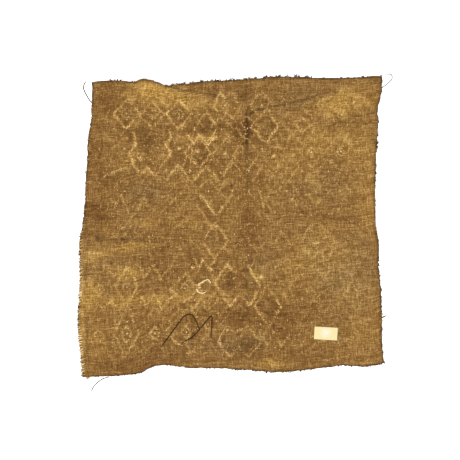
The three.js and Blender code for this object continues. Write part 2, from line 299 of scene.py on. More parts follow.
MOTIFS = [
    # outline, column, row, width, height, how clearly it shows
    ("lozenge", 0.95, 0.1, 52, 58, 0.9),
    ("lozenge", 0.95, 0.1, 20, 22, 0.4),
    ("lozenge", 1.92, 0.12, 44, 54, 0.65),
    ("lozenge", 1.95, 0.12, 20, 22, 0.5),
    ("lozenge", 2.9, 0.11, 51, 55, 1.1),
    ("lozenge", 2.9, 0.11, 16, 14, 0.6),
    ("lozenge", 3.92, 0.43, 45, 56, 0.95),
    ("notched", 4.68, -0.07, 46, 54, 0.9),
    ("lozenge", 4.62, -0.08, 17, 17, 0.6),
    ("lozenge", 5.0, 0.5, 42, 54, 0.45),
    ("lozenge", 6.13, 0.38, 49, 66, 0.85),
    ("lozenge", 6.9, 0.42, 40, 52, 0.35),
    ("lozenge", 7.51, 0.36, 27, 29, 0.7),
    ("lozenge", 8.22, -0.11, 18, 20, 0.55),
    ("lozenge", 8.95, 0.13, 18, 20, 0.6),
    ("dot", 9.4, -0.16, 4, 4, 0.8),
    ("rising stroke", 5.6, -0.18, 26, 26, 0.5),
    ("chevron", 6.6, -0.2, 40, 26, 0.4),
    ("falling stroke", 9.1, 0.62, 30, 44, 0.4),
    ("spool", 1.83, 0.97, 84, 98, 1.15),
    ("lozenge", 1.48, 1.07, 15, 19, 0.7),
    ("dot", 2.9, 0.88, 6, 5, 1.0),
    ("dot", 2.1, 0.86, 4, 4, 0.5),
    ("lozenge", 3.63, 0.97, 49, 61, 0.75),
    ("dot", 3.6, 0.95, 6, 5, 0.8),
    ("zigzag", 3.75, 0.7, 54, 20, 1.0),
    ("rising stroke", 3.35, 1.14, 2, 50, 0.7),
    ("lozenge", 4.61, 1.0, 49, 57, 0.5),
    ("dot", 4.61, 1.0, 6, 5, 0.8),
    ("lozenge", 5.39, 1.02, 50, 62, 0.6),
    ("lozenge", 6.41, 1.03, 56, 60, 0.45),
    ("dot", 6.41, 1.05, 6, 5, 0.9),
    ("dot", 7.15, 1.03, 5, 5, 0.6),
    ("lozenge", 7.82, 0.97, 15, 20, 0.8),
    ("lozenge", 7.82, 0.97, 48, 56, 0.4),
    ("lozenge", 8.91, 0.95, 15, 18, 0.8),
    ("lozenge", 8.91, 0.95, 58, 70, 0.45),
    ("chevron", 2.86, 1.43, 46, 28, 0.95),
    ("chevron", 3.92, 1.43, 48, 28, 0.95),
    ("chevron", 4.92, 1.34, 42, 28, 0.85),
    ("chevron", 6.08, 1.42, 46, 32, 0.75),
    ("rising stroke", 7.1, 1.5, 30, 34, 0.5),
    ("rising stroke", 0.5, 1.42, 44, 18, 0.8),
    ("vee", 8.1, 1.62, 44, 32, 0.3),
    ("chevron", 0.72, 2.15, 32, 36, 0.6),
    ("chevron", 1.58, 2.1, 22, 26, 0.6),
    ("rising stroke", 2.5, 2.16, 36, 34, 0.5),
    ("vee", 4.27, 2.14, 61, 40, 0.95),
    ("falling stroke", 3.85, 2.4, 26, 40, 0.6),
    ("lozenge", 4.24, 2.94, 49, 72, 0.7),
    ("dot", 4.3, 2.62, 6, 5, 0.6),
    ("falling stroke", 5.95, 2.0, 12, 40, 0.6),
    ("falling stroke", 6.2, 2.12, 14, 36, 0.5),
    ("falling stroke", 7.3, 2.2, 24, 34, 0.5),
    ("rising stroke", 8.9, 2.2, 34, 26, 0.4),
    ("falling stroke", 1.05, 2.62, 34, 36, 0.4),
    ("rising stroke", 0.9, 2.6, 40, 44, 0.45),
    ("lozenge", 1.98, 2.9, 30, 32, 0.35),
    ("chevron", 6.7, 2.88, 34, 22, 0.4),
    ("notched", 8.09, 3.02, 68, 56, 0.5),
    ("dot", 8.0, 3.0, 11, 5, 0.7),
    ("falling stroke", 5.2, 3.06, 18, 40, 0.25),
    ("zigzag", 3.86, 3.46, 44, 18, 0.85),
    ("dot", 3.4, 3.56, 7, 5, 0.9),
    ("dot", 4.1, 3.6, 7, 5, 0.8),
    ("zigzag", 0.25, 3.62, 56, 24, 0.5),
    ("lozenge", 0.96, 3.98, 45, 78, 0.7),
    ("lozenge", 0.96, 4.0, 18, 20, 0.5),
    ("lozenge", -0.05, 4.05, 19, 24, 0.5),
    ("zigzag", 2.0, 3.64, 66, 30, 0.75),
    ("zigzag", 2.05, 4.32, 62, 30, 0.75),
    ("zigzag", 0.4, 4.4, 62, 20, 0.6),
    ("lozenge", 3.12, 4.03, 53, 57, 0.75),
    ("lozenge", 3.12, 4.02, 17, 20, 0.6),
    ("zigzag", 3.75, 4.38, 62, 22, 0.8),
    ("notched", 5.15, 3.94, 87, 82, 1.0),
    ("dot", 5.95, 3.74, 6, 5, 0.9),
    ("lozenge", 6.2, 4.42, 50, 82, 0.75),
    ("chevron", 6.6, 3.6, 30, 22, 0.4),
    ("lozenge", 8.2, 4.0, 46, 56, 0.3),
    ("lozenge", 7.4, 3.62, 22, 24, 0.4),
    ("lozenge", 8.3, 3.6, 24, 26, 0.4),
    ("lozenge", 9.3, 4.3, 42, 78, 0.4),
    ("lozenge", -0.05, 5.08, 19, 26, 0.5),
    ("lozenge", 0.96, 5.03, 18, 33, 0.85),
    ("lozenge", 0.96, 5.03, 46, 100, 0.75),
    ("lozenge", 2.01, 5.02, 18, 24, 0.85),
    ("lozenge", 3.18, 5.0, 19, 28, 0.85),
    ("lozenge", 3.3, 4.98, 84, 88, 0.6),
    ("notched", 5.1, 5.2, 86, 58, 0.75),
    ("dot", 4.7, 4.95, 6, 5, 0.8),
    ("zigzag", 6.5, 5.16, 58, 28, 0.6),
    ("lozenge", 7.3, 5.1, 40, 50, 0.3),
    ("falling stroke", 9.35, 4.75, 26, 60, 0.45),
    ("zigzag", 8.6, 4.5, 60, 24, 0.3),
]
# Lozenges with a darker middle: column, row, width, height, how dark
DARK_FILLS = [
    (2.9, 0.11, 32, 34, 0.8),
    (3.92, 0.43, 30, 40, 0.9),
    (5.0, 0.5, 34, 46, 0.7),
    (6.13, 0.42, 28, 40, 0.4),
    (5.4, 0.5, 26, 80, 0.6),
    (1.75, 0.72, 48, 34, 0.8),
    (3.7, 1.1, 30, 40, 0.5),
    (4.8, 3.9, 30, 52, 0.8),
    (5.5, 3.95, 30, 52, 0.8),
    (5.15, 4.62, 60, 36, 0.6),
    (6.3, 4.5, 30, 44, 0.4),
    (5.5, 5.35, 90, 44, 0.3),
    (2.4, 3.75, 30, 26, 0.5),
    (0.6, 3.05, 34, 26, 0.4),
]


def on_chart(column, row):
    """A place on the embroiderer's chart, in millimetres."""
    return FIRST_COLUMN_X + column * COLUMN_PITCH, FIRST_ROW_Y - row * ROW_PITCH


HAND_WANDER = 0.022
unsteady_hand = np.random.default_rng(77)
charted = []
for outline, column, row, width, height, show in MOTIFS:
    middle_x, middle_y = on_chart(column, row)
    shape = np.array(OUTLINES[outline], float)
    corners = shape * (width / 2, height / 2) + (middle_x, middle_y)
    corners += unsteady_hand.normal(0, HAND_WANDER * (width + height) / 2, corners.shape)
    if np.allclose(shape[0], shape[-1]):
        corners[-1] = corners[0]
    charted.append((corners, show))
# An eye is a pale dot in a dark ring, in the middle of a lozenge: x, y, how clearly it shows
SMALL_LOZENGE = 22
EYES_APART = 16
eyes = []
for outline, column, row, width, height, show in MOTIFS:
    if outline == "dot" or (outline == "lozenge" and width < SMALL_LOZENGE):
        eyes.append((*on_chart(column, row), show))
# Between the clear motifs lie lozenges that are half worn away, most of all at the sides and in the middle.
WORN_HALF_ROWS = 12
WORN_COLUMNS = 10
WORN_HALF_ROW_PITCH = 0.48
WORN_SHIFT = -0.05
WORN_WANDER = 2.5
WORN_LOZENGE_WIDTH = (40, 50)
WORN_LOZENGE_HEIGHT = (44, 60)
WORN_SHOW = (0.15, 0.5)
WORN_EYE_SHOW = 1.2
FAR_ROWS_FROM = 60
MIDDLE_ROWS_FROM = -60
RIGHT_SIDE_FROM = 100
LEFT_SIDE_FROM = -205
for half_row in range(WORN_HALF_ROWS):
    for column in range(WORN_COLUMNS):
        worn_column = column + WORN_SHIFT + 0.5 * (half_row % 2)
        x, y = on_chart(worn_column, WORN_HALF_ROW_PITCH * half_row + WORN_SHIFT)
        x, y = x + unsteady_hand.normal(0, WORN_WANDER), y + unsteady_hand.normal(0, WORN_WANDER)
        size = (unsteady_hand.uniform(*WORN_LOZENGE_WIDTH), unsteady_hand.uniform(*WORN_LOZENGE_HEIGHT))
        row_share = 1.1 if y > FAR_ROWS_FROM else 0.6 if y > MIDDLE_ROWS_FROM else 0.75
        side_share = 0.75 if x > RIGHT_SIDE_FROM else 0.5 if x < LEFT_SIDE_FROM else 1
        show = unsteady_hand.uniform(*WORN_SHOW) * row_share * side_share
        charted.append((np.array(OUTLINES["lozenge"], float) * size / 2 + (x, y), show))
        if min(math.hypot(x - eye_x, y - eye_y) for eye_x, eye_y, clear in eyes) > EYES_APART:
            eyes.append((x, y, WORN_EYE_SHOW * show))
LINE_WANDER = 1.7
LINE_WANDER_PITCH = 9
WEAR_PITCH = 15
WEAR_MEAN = 0.95
WEAR_DEPTH = 0.6
WEAR_LIMITS = (0.2, 1.2)


def stitched_lines(step):
    """Points a step apart along every motif: x, y, the way the line runs, and how clearly it shows."""
    rows = []
    for corners, show in charted:
        for (x0, y0), (x1, y1) in zip(corners, corners[1:]):
            length = math.hypot(x1 - x0, y1 - y0)
            for at in np.arange(0.5 * step, length, step):
                share = at / length
                heading = math.atan2(y1 - y0, x1 - x0)
                rows.append((x0 + share * (x1 - x0), y0 + share * (y1 - y0), heading, show))
    rows = np.array(rows)
    worn = soft_noise(rows[:, 0], rows[:, 1], WEAR_PITCH, 93)
    rows[:, 3] *= np.clip(WEAR_MEAN + WEAR_DEPTH * worn, *WEAR_LIMITS)
    aside = [soft_noise(rows[:, 0], rows[:, 1], LINE_WANDER_PITCH, seed) for seed in (91, 92)]
    rows[:, :2] += LINE_WANDER * np.stack(aside, axis=-1)
    return rows


fine_lines = stitched_lines(1.0)
line_tree = KDTree(len(fine_lines))
for number, (x, y, heading, show) in enumerate(fine_lines):
    line_tree.insert(Vector((x, y, 0)), number)
line_tree.balance()
# Each line is a paler band of cloth with a band of painted shade beside it, as if it stood in relief.
LINE_HALO = 3.0
LINE_SHADE = 2.6
LINE_SHADE_AWAY = 6.8
halo = np.zeros(x_mm.size)
shade = np.zeros(x_mm.size)
for number, (x, y) in enumerate(zip(x_mm.ravel(), y_mm.ravel())):
    for point, found, distance in line_tree.find_range(Vector((x, y, 0)), LINE_SHADE_AWAY + LINE_SHADE):
        show = fine_lines[found, 3]
        halo[number] = max(halo[number], show * math.exp(-(distance / LINE_HALO) ** 2))
        beside = (distance - LINE_SHADE_AWAY) / LINE_SHADE
        shade[number] = max(shade[number], show * math.exp(-beside ** 2))
halo = np.clip(halo, 0, 1).reshape(x_mm.shape)
shade = np.clip(shade, 0, 1).reshape(x_mm.shape) * (1 - halo)
LARGE_LOZENGE = 30
LOZENGE_DARKNESS = 0.35
FILL_DARKNESS = 0.75


def lozenge_reach(column, row, width, height):
    """How far each point of the cloth lies from a lozenge's middle: 1 on its outline."""
    middle_x, middle_y = on_chart(column, row)
    return np.abs(x_mm - middle_x) / (width / 2) + np.abs(y_mm - middle_y) / (height / 2)


dark_middle_and_line_shade = np.zeros(x_mm.shape)
for outline, column, row, width, height, show in MOTIFS:
    if outline == "lozenge" and width > LARGE_LOZENGE:
        within = np.clip(3 * (0.85 - lozenge_reach(column, row, width, height)), 0, 1)
        dark_middle_and_line_shade = np.maximum(dark_middle_and_line_shade, LOZENGE_DARKNESS * show * within)
for column, row, width, height, dark in DARK_FILLS:
    within = np.clip(1.6 - 1.3 * lozenge_reach(column, row, width, height), 0, 1)
    dark_middle_and_line_shade = np.maximum(dark_middle_and_line_shade, FILL_DARKNESS * dark * within)
EYE_DOT = 2.3
EYE_RING = 5.6
EYE_RING_WIDTH = 2.0
EYE_RING_DARKNESS = 1.2
RING_OVER_LINES = 0.6
for eye_x, eye_y, show in eyes:
    away = np.hypot(x_mm - eye_x, y_mm - eye_y)
    ring = show * np.exp(-((away - EYE_RING) / EYE_RING_WIDTH) ** 2)
    dot = show * np.exp(-(away / EYE_DOT) ** 2)
    shade = np.maximum(shade, EYE_RING_DARKNESS * ring)
    halo = np.maximum(halo * (1 - RING_OVER_LINES * np.clip(ring, 0, 1)), dot)
# The dark middles also take the painted shade beside the lines and the dark rings of the eyes.
LINES_OVER_FILLS = 0.7
SHADE_DARKNESS = 0.5
dark_middle_and_line_shade = np.clip(dark_middle_and_line_shade * (1 - LINES_OVER_FILLS * halo) + SHADE_DARKNESS * shade, 0, 1)


# Stains, age and painted fold light and shade on the panel
# The raffia has yellowed and darkened in patches: ochre where it rubbed, red-brown along the middle fold and
# the lower edge, grey-green where it was damp. At the tuck along the far edge, on the left, ochre is painted
# light on its crest and on the band below it, and brown is painted shade on the strip behind it. The raw rim
# is darkened, partly with dirt and partly with painted shade, and there are a few small dark spots, two of
# them painted shadow at the tuck's lifted edge. The creases carry painted shade too.
OCHRE_AND_LIT_FOLD_PATCHES = [
    # x, y, length, width, turn, strength
    # The first two are painted light: the lit crest of the tuck and the lit band below it.
    (-142, 263, 96, 28, -6, 1.0),
    (-95, 238, 230, 32, -6, 0.65),
    (211, 234, 104, 46, 8, 0.95),
    (165, 160, 110, 60, 0, 0.4),
    (245, 150, 70, 90, 0, 0.35),
    (-52, 168, 96, 18, 4, 0.4),
    (-200, -90, 56, 34, 0, 0.8),
    (-264, -57, 62, 28, 4, 0.5),
    (-215, -44, 84, 18, 6, 0.65),
    (-172, -36, 44, 10, 6, 0.6),
    (-283, -160, 11, 240, 0, 0.6),
    (-272, -128, 44, 70, 0, 0.7),
    (-174, 9, 62, 22, 0, 0.6),
    (-80, 6, 90, 12, 0, 0.3),
    (53, -96, 34, 32, 0, 0.7),
    (178, -62, 140, 110, 0, 0.45),
    (262, 40, 46, 130, 4, 0.4),
    (-190, -142, 200, 20, 0, 0.55),
    (-90, -134, 130, 16, 0, 0.4),
    (84, -262, 60, 16, 0, 0.75),
    (250, -190, 70, 90, 0, 0.35),
    (157, 82, 26, 100, 12, 0.35),
    (225, 74, 70, 26, 30, 0.25),
    (-262, -220, 40, 70, 0, 0.25),
    (-60, 92, 120, 18, 8, 0.2),
    (100, 120, 80, 60, 0, 0.25),
    (230, -120, 80, 60, 0, 0.4),
    (20, -128, 180, 14, 0, 0.25),
    (-190, 130, 50, 24, 20, 0.25),
]
BROWN_AND_SHADED_FOLD_PATCHES = [
    (-238, 242, 64, 46, 0, 0.8),
    (26, 178, 50, 56, 0, 0.85),
    (-42, 184, 110, 18, 2, 0.7),
    (24, 250, 30, 90, 0, 0.4),
    (28, 90, 34, 130, 0, 0.4),
    (30, -20, 44, 100, 0, 0.75),
    (11, -106, 52, 42, 0, 0.5),
    (6, -172, 74, 40, 0, 0.65),
    (32, -234, 54, 46, 0, 0.6),
    (-260, 122, 44, 100, 0, 0.5),
    (-258, 26, 66, 62, 0, 0.95),
    (-266, -20, 44, 26, 0, 0.5),
    (-165, 163, 58, 42, 0, 0.75),
    (-62, 126, 120, 26, -4, 0.55),
    (-221, 82, 66, 34, 0, 0.4),
    (126, 246, 140, 20, 14, 0.1),
    (206, 12, 124, 16, -12, 0.6),
    (252, 56, 34, 22, 0, 0.4),
    (-140, -30, 150, 62, 0, 0.4),
    (-150, -84, 70, 60, 0, 0.35),
    (-60, -176, 84, 32, 6, 0.55),
    (96, -172, 100, 64, -8, 0.8),
    (98, -210, 50, 40, 0, 0.5),
    (-150, -256, 150, 42, 12, 0.8),
    (-240, -266, 70, 34, 0, 0.6),
    (-160, -186, 90, 40, 0, 0.35),
    (120, -252, 130, 30, 4, 0.4),
    # This thin strip behind the tuck is painted shade.
    (-30, 264, 200, 17, -7, 0.08),
    (-230, 188, 50, 40, 0, 0.25),
    (-90, -70, 120, 60, 0, 0.3),
    (-205, 60, 100, 60, 0, 0.2),
    (215, -185, 130, 90, 0, 0.15),
    (-30, 200, 120, 60, 0, 0.15),
    (-40, -200, 120, 60, 0, 0.15),
    (170, -140, 90, 60, 0, 0.2),
]
GREY_GREEN_PATCHES = [
    (-190, 10, 56, 46, 0, 0.45),
    (-160, 64, 90, 44, 0, 0.5),
    (20, -222, 110, 44, 0, 0.6),
    (202, -107, 80, 50, 0, 0.55),
    (170, 72, 120, 70, 0, 0.5),
    (190, -54, 140, 90, 0, 0.35),
    (53, -76, 56, 80, 0, 0.5),
    (252, -86, 66, 130, 0, 0.4),
    (-242, -76, 110, 66, 0, 0.3),
    (-20, 240, 120, 40, 0, 0.3),
    (130, 246, 160, 50, 10, 0.35),
    (-60, -230, 120, 30, 0, 0.3),
    (110, 10, 90, 70, 0, 0.25),
    (230, -190, 110, 90, 0, 0.2),
    (215, -120, 150, 110, 0, 0.2),
]
DARK_SPOTS_AND_TUCK_SHADOW = [
    # x, y, radius, strength
    (103.9, 230.7, 2.9, 1.0),
    (231.8, 235.6, 2.9, 1.0),
    (-226.1, -70.3, 2.9, 0.9),
    (1.9, 76, 3.0, 1.0),
    (-235.6, 95, 2.6, 0.8),
    (-150, 60, 2.6, 0.6),
    (-74, -213, 3.0, 0.9),
    (-93, -226, 3.0, 0.8),
    (-205, -26, 5.0, 0.8),
    (-250, -24, 6.0, 0.6),
    # These two spots at the lifted edge of the tuck are painted shadow.
    (-122, 268, 7.0, 0.9),
    (-104, 263, 6.0, 0.6),
]
STAIN_WANDER = 0.12
LEAST_STAIN_WANDER = 3
STAIN_WANDER_PITCH = 17
RIM_DARKENING_REACH = 3.0 * MM
RIM_DARKENING_MEAN = 0.95
RIM_DARKENING_VARIES = 0.5
RIM_DARKENING_PITCH = 9


def patches(table):
    """How strongly a table of stains and painted fold light and shade shows at each point, from 0 to 1."""
    total = np.zeros(x_mm.shape)
    for x, y, length, width, turn, strength in table:
        c, s = math.cos(math.radians(turn)), math.sin(math.radians(turn))
        wander = STAIN_WANDER * min(length, width) + LEAST_STAIN_WANDER
        shifted_x = x_mm - x + wander * soft_noise(x_mm, y_mm, STAIN_WANDER_PITCH, int(abs(x)) + 31)
        shifted_y = y_mm - y + wander * soft_noise(x_mm, y_mm, STAIN_WANDER_PITCH, int(abs(y)) + 47)
        ahead = (shifted_x * c + shifted_y * s) / (length / 2)
        aside = (shifted_y * c - shifted_x * s) / (width / 2)
        total += strength * np.exp(-(np.hypot(ahead, aside) ** 3))
    return np.clip(total, 0, 1)


# Small dark spots, two of them painted shadow at the tuck.
spots_and_tuck_shadow = np.zeros(x_mm.shape)
for x, y, radius, strength in DARK_SPOTS_AND_TUCK_SHADOW:
    spots_and_tuck_shadow = np.maximum(spots_and_tuck_shadow, strength * np.exp(-((x_mm - x) ** 2 + (y_mm - y) ** 2) / radius ** 2))
# The rim is darkened, partly with dirt and partly with painted shade along the edge.
rim_darkening = RIM_DARKENING_MEAN + RIM_DARKENING_VARIES * soft_noise(x_mm, y_mm, RIM_DARKENING_PITCH, 64)
rim_dirt_and_shade = np.clip(np.exp(-(to_rim / RIM_DARKENING_REACH) ** 2) * rim_darkening, 0, 1)


def paint(name, red, green, blue):
    """Keeps three masks of the cloth as one colour attribute of the panel."""
    layer = panel.data.color_attributes.new(name, "FLOAT_COLOR", "POINT")
    masks = np.dstack([red, green, blue, np.ones(red.shape)])[::-1]
    layer.data.foreach_set("color", masks.astype(np.float32).ravel())


paint("stains_and_fold_light", patches(OCHRE_AND_LIT_FOLD_PATCHES), patches(BROWN_AND_SHADED_FOLD_PATCHES), patches(GREY_GREEN_PATCHES))
# The third mask holds rim dirt and dark spots, with painted shade at the rim, in the creases and at the tuck.
paint("marks_and_painted_shade", halo, dark_middle_and_line_shade, np.maximum(rim_dirt_and_shade, np.maximum(spots_and_tuck_shadow, painted_crease_shade)))

solidify = panel.modifiers.new("thickness", "SOLIDIFY")
solidify.thickness = PANEL_THICKNESS
solidify.offset = -1
bpy.ops.object.modifier_apply(modifier=solidify.name)
sheet_points = np.zeros(len(panel.data.vertices) * 3)
panel.data.vertices.foreach_get("co", sheet_points)
sheet_points = sheet_points.reshape(-1, 3)
sheet_points[:, 2] = np.maximum(sheet_points[:, 2], 0)
panel.data.vertices.foreach_set("co", sheet_points.ravel())
panel.data.update()
bpy.ops.object.shade_smooth_by_angle(angle=math.radians(70))

panel_tree = BVHTree.FromPolygons(
    [Vector(point) for point in sheet_points],
    [tuple(polygon.vertices) for polygon in panel.data.polygons],
)


def on_panel(x, y):
    """The point of the panel's upper side above or below a place in plan, and the way it faces."""
    point, normal, face, distance = panel_tree.ray_cast(Vector((x, y, 1)), Vector((0, 0, -1)))
    if point is None:
        point, normal, face, distance = panel_tree.find_nearest(Vector((x, y, 0.01)))
    return point, normal


# The raffia of the panel
# Warp and weft are single strips of leaf fibre of about a millimetre, each with its own tone along it.
# Its surface is dry and matt, and the floats of the weave stand a little proud. Their crowns are painted
# lighter and the gaps between threads darker, as painted light and shade.
THREAD_PITCH = 1.45 * MM
THREAD_WANDER = 0.006
THREAD_WANDERS_PER_METRE = 16
THREADS_APART = 3.71
WARP_CHANGE = 0.06
WEFT_CHANGE = 0.045
MOTTLES_PER_METRE = 48
GAP_PAINTED_SHADE = 0.13
CROWN_PAINTED_LIGHT = 0.2
SPECK_LEVEL = 0.92
SPECK_STRENGTH = 0.45
DIRT_AND_SHADE_STRENGTH = 0.92


def srgb(red, green, blue):
    """A colour given in the usual 0 to 255, as Blender's linear one."""
    shares = [c / 255 for c in (red, green, blue)]
    linear = [c / 12.92 if c <= 0.04 else ((c + 0.055) / 1.055) ** 2.4 for c in shares]
    return (*linear, 1)


def add_node(tree, kind, inputs=None, **settings):
    """Adds one node, with its properties set and its inputs set or linked."""
    node = tree.nodes.new(kind)
    for name, value in settings.items():
        setattr(node, name, value)
    for key, value in (inputs or {}).items():
        if isinstance(value, bpy.types.NodeSocket):
            tree.links.new(value, node.inputs[key])
        else:
            node.inputs[key].default_value = value
    return node


def sums(tree, operation, first, second=0.0, third=0.0):
    """One sum of a Math node."""
    return add_node(tree, "ShaderNodeMath", {0: first, 1: second, 2: third}, operation=operation).outputs[0]


def vector_sums(tree, operation, inputs):
    """One sum of a Vector Math node."""
    return add_node(tree, "ShaderNodeVectorMath", inputs, operation=operation).outputs[0]


def joined(tree, first, second):
    """Two values, as a place in a plane."""
    return add_node(tree, "ShaderNodeCombineXYZ", {0: first, 1: second}).outputs[0]


def flat_noise(tree, place, scale, detail, roughness):
    """Soft noise over a plane, from 0 to 1."""
    inputs = {"Vector": place, "Scale": scale, "Detail": detail, "Roughness": roughness}
    return add_node(tree, "ShaderNodeTexNoise", inputs, noise_dimensions="2D").outputs["Fac"]


def white_noise(tree, place):
    """One value for each numbered place, from 0 to 1."""
    node = add_node(tree, "ShaderNodeTexWhiteNoise", {"Vector": place}, noise_dimensions="2D")
    return node.outputs["Value"]


def mixed(tree, factor, first, second, blend="MIX"):
    """Two colours, mixed by a factor."""
    inputs = {0: factor, 6: first, 7: second}
    return add_node(tree, "ShaderNodeMix", inputs, data_type="RGBA", blend_type=blend).outputs[2]


def new_material(name):
    """An empty material, with its tree and its Principled BSDF."""
    material = bpy.data.materials.new(name)
    material.use_nodes = True
    return material, material.node_tree, material.node_tree.nodes["Principled BSDF"]


panel_look, tree, panel_surface = new_material("plain_woven_raffia")
thread_place = add_node(tree, "ShaderNodeUVMap", uv_map="threads").outputs[0]
wander_noise = {"Vector": thread_place, "Scale": THREAD_WANDERS_PER_METRE, "Detail": 1}
wander = add_node(tree, "ShaderNodeTexNoise", wander_noise).outputs["Color"]
wander = vector_sums(tree, "SUBTRACT", {0: wander, 1: (0.5, 0.5, 0.5)})
wander = vector_sums(tree, "SCALE", {0: wander, "Scale": THREAD_WANDER})
wandering = vector_sums(tree, "ADD", {0: thread_place, 1: wander})
counted = vector_sums(tree, "SCALE", {0: wandering, "Scale": 1 / THREAD_PITCH})
counts = add_node(tree, "ShaderNodeSeparateXYZ", {0: counted})
warp_count, weft_count = counts.outputs[0], counts.outputs[1]
warp_number = sums(tree, "FLOOR", warp_count)
weft_number = sums(tree, "FLOOR", weft_count)
warp_across = sums(tree, "FRACT", warp_count)
weft_across = sums(tree, "FRACT", weft_count)
crossing = sums(tree, "ADD", warp_number, weft_number)
warp_on_top = sums(tree, "FLOORED_MODULO", crossing, 2.0)


def thread_tone(number, along, start, change):
    """The tone of a numbered thread, which changes slowly along it."""
    apart = sums(tree, "MULTIPLY_ADD", number, THREADS_APART, start)
    slowly = sums(tree, "MULTIPLY", along, change)
    return flat_noise(tree, joined(tree, apart, slowly), 1.0, 2.0, 0.65)


def streak_tone(stretch):
    """The tone of streaks that run on over several threads, along the weft or up the warp."""
    place = add_node(tree, "ShaderNodeMapping", {0: counted, "Scale": stretch}).outputs[0]
    return flat_noise(tree, place, 1.0, 2.0, 0.7)


def warp_or_weft(of_weft, of_warp):
    """The value of whichever thread lies on top."""
    return add_node(tree, "ShaderNodeMix", {0: warp_on_top, 2: of_weft, 3: of_warp}).outputs[0]


warp_tone = thread_tone(warp_number, weft_count, 0.0, WARP_CHANGE)
weft_tone = thread_tone(weft_number, warp_count, 91.7, WEFT_CHANGE)
mottle_tone = flat_noise(tree, thread_place, MOTTLES_PER_METRE, 3.0, 0.6)
TONE_SHARES = [
    # what varies, how strongly
    (warp_or_weft(weft_tone, warp_tone), 0.85),
    (weft_tone, 0.16),
    (white_noise(tree, joined(tree, warp_number, weft_number)), 0.2),
    (streak_tone((0.1, 0.58, 1)), 0.42),
    (streak_tone((0.58, 0.1, 1)), 0.46),
    (mottle_tone, 0.18),
]
tone = 0.5
for varied, strength in TONE_SHARES:
    tone = sums(tree, "MULTIPLY_ADD", sums(tree, "SUBTRACT", varied, 0.5), strength, tone)

warp_round = sums(tree, "SINE", sums(tree, "MULTIPLY", warp_across, math.pi))
weft_round = sums(tree, "SINE", sums(tree, "MULTIPLY", weft_across, math.pi))
float_height = warp_or_weft(weft_round, warp_round)
# Painted shade in the gaps between threads and painted light on their crowns.
tone_with_gap_shade = sums(tree, "SUBTRACT", tone, GAP_PAINTED_SHADE)
tone_with_thread_shading = sums(tree, "MULTIPLY_ADD", float_height, CROWN_PAINTED_LIGHT, tone_with_gap_shade)
ramp = add_node(tree, "ShaderNodeValToRGB", {0: tone_with_thread_shading})
ramp.color_ramp.elements[0].position = 0.0
ramp.color_ramp.elements[0].color = srgb(66, 36, 5)
ramp.color_ramp.elements[1].position = 1.0
ramp.color_ramp.elements[1].color = srgb(200, 162, 101)
middle_tone = ramp.color_ramp.elements.new(0.5)
middle_tone.color = srgb(122, 86, 39)

stains_and_fold_light_layer = add_node(tree, "ShaderNodeVertexColor", layer_name="stains_and_fold_light").outputs[0]
marks_and_shade_layer = add_node(tree, "ShaderNodeVertexColor", layer_name="marks_and_painted_shade").outputs[0]
ochre_and_painted_light, brown_and_painted_shade, grey_green = add_node(tree, "ShaderNodeSeparateColor", {0: stains_and_fold_light_layer}).outputs
pale_line, dark_fill_and_line_shade, dirt_and_shade = add_node(tree, "ShaderNodeSeparateColor", {0: marks_and_shade_layer}).outputs
# Ochre also carries painted light on the tuck, and brown and the dark fills also carry painted shade.
TINTS = [
    # where, red, green, blue
    (ochre_and_painted_light, 1.64, 1.78, 1.6),
    (brown_and_painted_shade, 0.66, 0.58, 0.5),
    (grey_green, 0.8, 0.85, 1.12),
    (dark_fill_and_line_shade, 0.62, 0.59, 0.54),
    (pale_line, 1.5, 1.6, 1.44),
]
cloth_colour = ramp.outputs[0]
for where, red, green, blue in TINTS:
    cloth_colour = mixed(tree, where, cloth_colour, (red, green, blue, 1), "MULTIPLY")
speck_chance = white_noise(tree, joined(tree, weft_number, warp_number))
speck_chance = sums(tree, "MULTIPLY_ADD", mottle_tone, -0.1, speck_chance)
specks = sums(tree, "GREATER_THAN", speck_chance, SPECK_LEVEL)
cloth_colour = mixed(tree, sums(tree, "MULTIPLY", specks, SPECK_STRENGTH), cloth_colour, srgb(52, 30, 8))
# Dirt and painted shade darken the cloth towards dark brown.
cloth_colour = mixed(tree, sums(tree, "MULTIPLY", dirt_and_shade, DIRT_AND_SHADE_STRENGTH), cloth_colour, srgb(44, 26, 8))
tree.links.new(cloth_colour, panel_surface.inputs["Base Color"])

uneven_height = sums(tree, "MULTIPLY_ADD", tone, 0.6, float_height)
bump = add_node(tree, "ShaderNodeBump", {"Height": uneven_height, "Strength": 0.45, "Distance": 0.35 * MM})
tree.links.new(bump.outputs[0], panel_surface.inputs["Normal"])
roughness = sums(tree, "MULTIPLY_ADD", tone, -0.16, 0.86)
tree.links.new(roughness, panel_surface.inputs["Roughness"])
panel_surface.inputs["Specular IOR Level"].default_value = 0.12
panel.data.materials.clear()
panel.data.materials.append(panel_look)
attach(panel, "root")
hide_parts("cloth")


# The stitches of the pattern
# Each line of the embroidery shows on the back as short dashes of pale raffia that slant across it. Many have
# worn off, most of all on the right. Pale flecks between them are single stitches of the worn ground.
STITCH_STEP = 2.4
STITCH_LENGTH = (3.6, 6.0)
STITCH_HALF_WIDTH = (0.75, 1.25)
STITCH_CROWN = 0.45
STITCH_SECTION = [(-1, -0.5), (0, 1), (1, -0.5)]
STITCH_SUNK = 0.2 * MM
STITCH_RISEN = 0.22 * MM
STITCH_ASIDE = 0.5
STITCH_LEAN = (48, 16)
EYE_STITCH_LENGTH = 4.2
EYE_STITCH_HALF_WIDTH = 1.1
PALE_DASH_HALF_WIDTH = 1.4
FLECK_COUNT = 2000
FLECK_LENGTH = (2.2, 4.2)
FLECK_HALF_WIDTH = (0.4, 0.7)
FLECKS_UPRIGHT = 0.4


def unit(vectors):
    """Vectors of length one."""
    return vectors / np.maximum(np.linalg.norm(vectors, axis=-1, keepdims=True), 1e-12)


